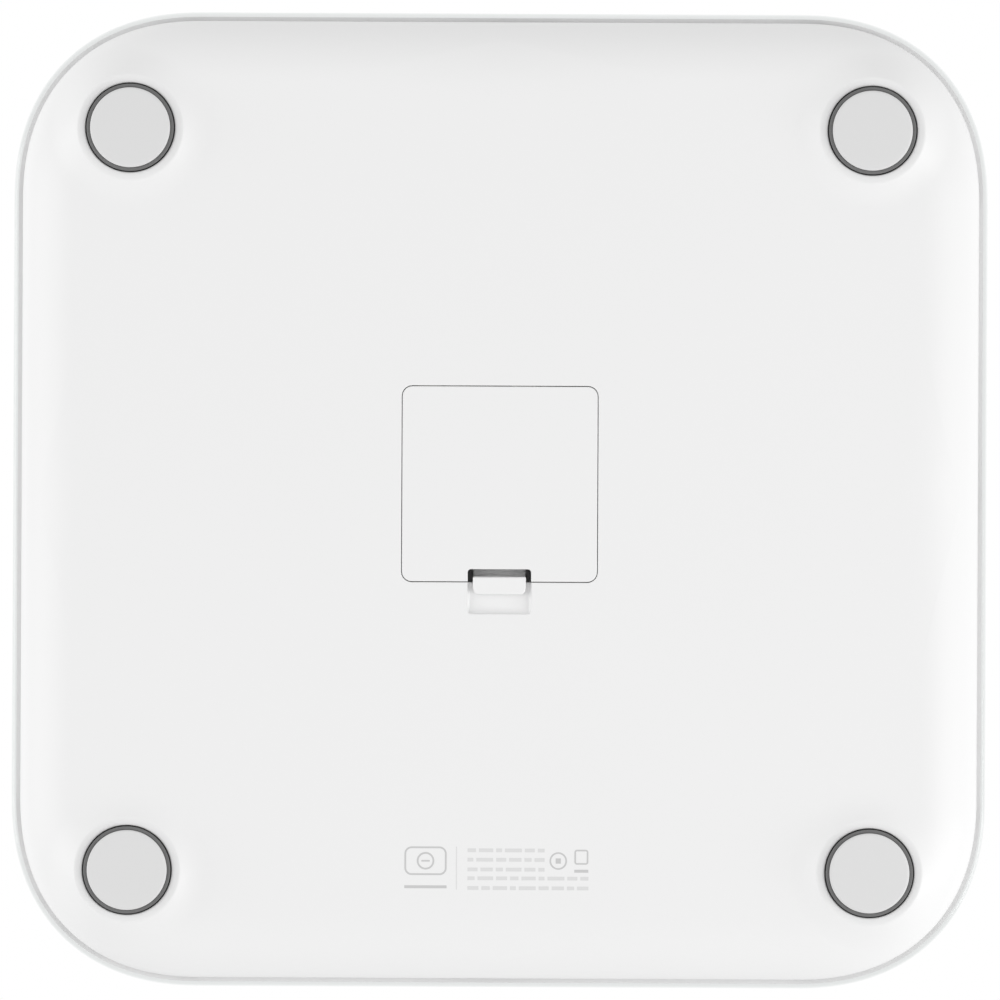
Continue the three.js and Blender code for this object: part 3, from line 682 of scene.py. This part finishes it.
def make_cell(number):
    """A plain AA cell: a sleeve that folds over both ends, a steel base and a button at the other end."""
    low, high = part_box(f"battery_{number}")
    radius, length = (high.z - low.z) / 2, high.y - low.y
    button, button_radius, fold = 1.3 * MM, 2.7 * MM, 0.5 * MM
    top = length - button
    profile = [(0, 0.25 * MM), (4.6 * MM, 0.25 * MM), (4.9 * MM, 0.05 * MM), (6 * MM, 0.05 * MM)]
    profile += quarter_round(fold, (radius - fold, fold), 270, 360)
    profile += quarter_round(fold, (radius - fold, top - fold), 0, 90)
    profile += [(5.4 * MM, top), (5.2 * MM, top - 0.3 * MM), (button_radius, top - 0.3 * MM)]
    profile += quarter_round(0.3 * MM, (button_radius - 0.3 * MM, length - 0.3 * MM), 0, 90) + [(0, length)]
    up = number % 2 == 1
    middle_x, middle_z = (low.x + high.x) / 2, (low.z + high.z) / 2
    start = low.y if up else high.y
    lay_down = Matrix.Rotation(math.radians(-90 if up else 90), 4, "X")
    place = Matrix.Translation((middle_x, start, middle_z)) @ lay_down
    bm = bmesh.new()
    turned(bm, profile, place, steps=64)
    for face in bm.faces:
        centre = face.calc_center_median()
        face.material_index = int(math.hypot(centre.x - middle_x, centre.z - middle_z) < 5.3 * MM)
    new_piece(f"cell_{number}", bm, "scale_body", [FOIL, NICKEL], "cell_jacket", [f"battery_{number}"])


# ---------- platform ----------


def make_platform():
    """The glass, the white print with a grey sheet of painted shade under it, the display window, tape and
    frame edge.
    """
    bm = bmesh.new()
    slab(bm, soft_square(GLASS_HALF), glass_low.z, glass_high.z, 1.2 * MM, 1.2 * MM, segments=5)
    new_piece("glass", bm, "scale_body", [GLASS], "clear_glass", ["glass_platform"], sharp=60)
    print_half = GLASS_HALF - 1.4 * MM
    layers = [
        ("white_print", WHITE_PRINT, "white_casing", print_half, -0.02, 0.1),
        # The grey sheet is painted shade for the gap between the casing rim and the glass.
        ("painted_shade_sheet", PAINTED_SHADE_BACKING, "print_grey", print_half + 0.02 * MM, -0.1, -0.015),
    ]
    for name, material, slot, half, low, high in layers:
        bm = bmesh.new()
        slab(bm, soft_square(half), glass_low.z + low * MM, glass_low.z + high * MM)
        new_piece(name, bm, "scale_body", [material], slot, sharp=60)
    bm = bmesh.new()
    window = rounded_loop((display_low.x, display_low.y), (display_high.x, display_high.y), 2 * MM)
    slab(bm, window, glass_low.z + 0.09 * MM, glass_low.z + 0.14 * MM)
    new_piece("display_window", bm, "scale_body", [FILM], "diffuser_film", sharp=60)
    bm = bmesh.new()
    slab(bm, soft_square(frame_high.x), RIM_Z + 0.25 * MM, frame_high.z, 0.25 * MM, 0.25 * MM)
    new_piece("frame_edge", bm, "scale_body", [WHITE], "white_casing", ["upper_frame"], sharp=60)
    bm = bmesh.new()
    slab(bm, soft_square(tape_high.x), tape_low.z, tape_high.z - 0.11 * MM)
    new_piece("tape", bm, "scale_body", [TAPE], "bond_tape", ["platform_tape"], sharp=60)


# ---------- printing under the scale ----------

INK_LOW = BASE_Z - 0.02 * MM
INK_HIGH = BASE_Z + 0.15 * MM


def print_bar(bm, middle, width, height):
    """A plain printed bar; middle, width and height are in millimetres."""
    low = ((middle[0] - width / 2) * MM, (middle[1] - height / 2) * MM, INK_LOW)
    high = ((middle[0] + width / 2) * MM, (middle[1] + height / 2) * MM, INK_HIGH)
    block(bm, low, high)


def print_outline(bm, middle, width, height, radius, line):
    """A printed outline of a rounded rectangle, in millimetres."""
    loops = []
    for shrink, z in ((0, INK_LOW), (line, INK_LOW), (line, INK_HIGH), (0, INK_HIGH)):
        low = ((middle[0] - width / 2 + shrink) * MM, (middle[1] - height / 2 + shrink) * MM)
        high = ((middle[0] + width / 2 - shrink) * MM, (middle[1] + height / 2 - shrink) * MM)
        loops.append((rounded_loop(low, high, (radius - shrink) * MM, 8), z))
    stack_loops(bm, loops, closed=True)


def make_printing():
    """A plain mark, a divider, rows of dashes that stand for small print, and two small signs."""
    bm = bmesh.new()
    print_outline(bm, (22.3, -110.9), 13, 8.8, 2.2, 0.55)
    print_outline(bm, (22.3, -110.9), 5.4, 5.4, 2.69, 0.55)
    print_bar(bm, (22.3, -110.9), 2.6, 0.5)
    print_bar(bm, (22.3, -118.9), 13, 0.9)
    print_outline(bm, (-18.5, -110.8), 5.4, 5.4, 2.69, 0.5)
    print_bar(bm, (-18.5, -110.8), 1.6, 1.6)
    print_outline(bm, (-25.6, -109.6), 4.3, 4.6, 0.8, 0.5)
    print_bar(bm, (-25.6, -113.9), 4.3, 0.9)
    tidy(bm)
    new_piece("printed_marks", bm, "scale_body", [INK], "print_grey")
    bm = bmesh.new()
    print_bar(bm, (12.8, -113.1), 0.3, 13.2)
    dashes = [2.6, 4.4, 1.8, 5.2, 3.1, 3.8, 2.2, 4.8, 3.4]
    rows = [(-107.6, -14.3), (-110.5, -14.3), (-113.5, -14.3), (-116.2, -27.8), (-119.2, -27.8)]
    for index, (y, end) in enumerate(rows):
        x = 9.4
        turn = index * 2
        while x - end > 1.5:
            width = min(dashes[turn % len(dashes)], x - end)
            print_bar(bm, (x - width / 2, y), width, 1.15)
            x -= width + 0.9
            turn += 1
    tidy(bm)
    new_piece("printed_lines", bm, "scale_body", [PALE_INK], "print_grey")


# ---------- studio ----------


def make_floor():
    """A pale floor that shows from above only, so that the underside can be seen from below."""
    bm = bmesh.new()
    just_under_the_feet = Matrix.Translation((0, 0, -0.1 * MM))
    bmesh.ops.create_grid(bm, x_segments=1, y_segments=1, size=14, matrix=just_under_the_feet)
    material, nodes, out = new_material("pale_studio_floor")
    place = nodes.add("ShaderNodeTexCoord").outputs["Object"]
    tone = nodes.drift(place, 3.0, 0.03, 0.82)
    shader = nodes.add("ShaderNodeBsdfDiffuse", {"Color": tone})
    clear = nodes.add("ShaderNodeBsdfTransparent")
    path = nodes.add("ShaderNodeLightPath")
    side = nodes.add("ShaderNodeNewGeometry")
    above = nodes.maths("SUBTRACT", 1.0, side.outputs["Backfacing"])
    shown = nodes.maths("MULTIPLY", path.outputs["Is Camera Ray"], above)
    mix = nodes.add("ShaderNodeMixShader", {0: shown, 1: clear.outputs[0], 2: shader.outputs[0]})
    material.node_tree.links.new(mix.outputs[0], out.inputs["Surface"])
    mesh = bpy.data.meshes.new("floor")
    bm.to_mesh(mesh)
    bm.free()
    mesh.materials.append(material)
    floor = bpy.data.objects.new("floor", mesh)
    bpy.context.scene.collection.objects.link(floor)


def make_world():
    """A bright studio tent, a little stronger at its sides and overhead, with a plain white backdrop."""
    world = bpy.data.worlds.new("studio")
    bpy.context.scene.world = world
    world.use_nodes = True
    world.node_tree.nodes.clear()
    nodes = Nodes(world.node_tree)
    out = nodes.add("ShaderNodeOutputWorld")
    direction = nodes.add("ShaderNodeSeparateXYZ", {0: nodes.add("ShaderNodeTexCoord").outputs["Generated"]})
    x, y, z = direction.outputs
    above = nodes.maths("MAXIMUM", z, 0.0)
    dome = nodes.maths("MULTIPLY", above, nodes.maths("MULTIPLY_ADD", above, -0.55, 0.7))
    level = 0.654
    for part, share in (
        (nodes.maths("MULTIPLY", x, x), 0.19), (nodes.maths("MULTIPLY", y, y), 0.13), (x, 0.03), (dome, 1.0),
    ):
        level = nodes.maths("MULTIPLY_ADD", part, share, level)
    light = nodes.add("ShaderNodeBackground", {"Color": grey(1.0), "Strength": level})
    plain = nodes.add("ShaderNodeBackground", {"Color": grey(1.0), "Strength": 1.0})
    path = nodes.add("ShaderNodeLightPath")
    mix = nodes.add(
        "ShaderNodeMixShader",
        {0: path.outputs["Is Camera Ray"], 1: light.outputs[0], 2: plain.outputs[0]},
    )
    world.node_tree.links.new(mix.outputs[0], out.inputs["Surface"])


def make_light(name, at, towards, size, power):
    """A rectangular softbox, kept out of the camera's own view."""
    data = bpy.data.lights.new(name, "AREA")
    data.shape = "RECTANGLE"
    data.size, data.size_y = size
    data.energy = power
    light = bpy.data.objects.new(name, data)
    light.location = at
    light.rotation_euler = (Vector(towards) - Vector(at)).to_track_quat("-Z", "Y").to_euler()
    light.visible_camera = False
    bpy.context.scene.collection.objects.link(light)


def make_camera():
    """Straight below the scale, looking up at its underside, far away through a long lens."""
    lens, sensor, field = 800.0, 36.0, 308.2 * MM
    roll = math.radians(0.265)
    data = bpy.data.cameras.new("camera")
    data.lens, data.sensor_width = lens, sensor
    distance = field * lens / sensor
    camera = bpy.data.objects.new("camera", data)
    data.clip_start, data.clip_end = 0.1, distance * 3
    camera.matrix_world = (
        Matrix.Translation((-0.08 * MM, 0.1 * MM, glass_low.z - distance))
        @ Matrix.Rotation(math.pi, 4, "Y") @ Matrix.Rotation(roll, 4, "Z")
    )
    bpy.context.scene.collection.objects.link(camera)
    bpy.context.scene.camera = camera


make_camera()
make_world()
make_floor()
make_light("right_softbox", (-1.45, -0.5, -0.85), (0, 0, 0), (0.8, 1.7), 12)
make_light("left_softbox", (1.5, 0, -0.85), (0, 0, 0), (0.8, 1.7), 8)
bpy.context.scene.view_settings.view_transform = "Standard"

for row in frame["record"]["subparts"]:
    for material_slot in frame["nodes"][row["node"]].material_slots:
        material_slot.material = SLOT_MATERIAL[row["material_slot"]]

make_casing()
make_recess()
make_printing()
make_door()
make_latch()
for number, (x, y) in enumerate(((-1, 1), (1, 1), (-1, -1), (1, -1)), 1):
    make_foot(number, x * FOOT_AT, y * FOOT_AT)
    make_cell(number)
make_platform()
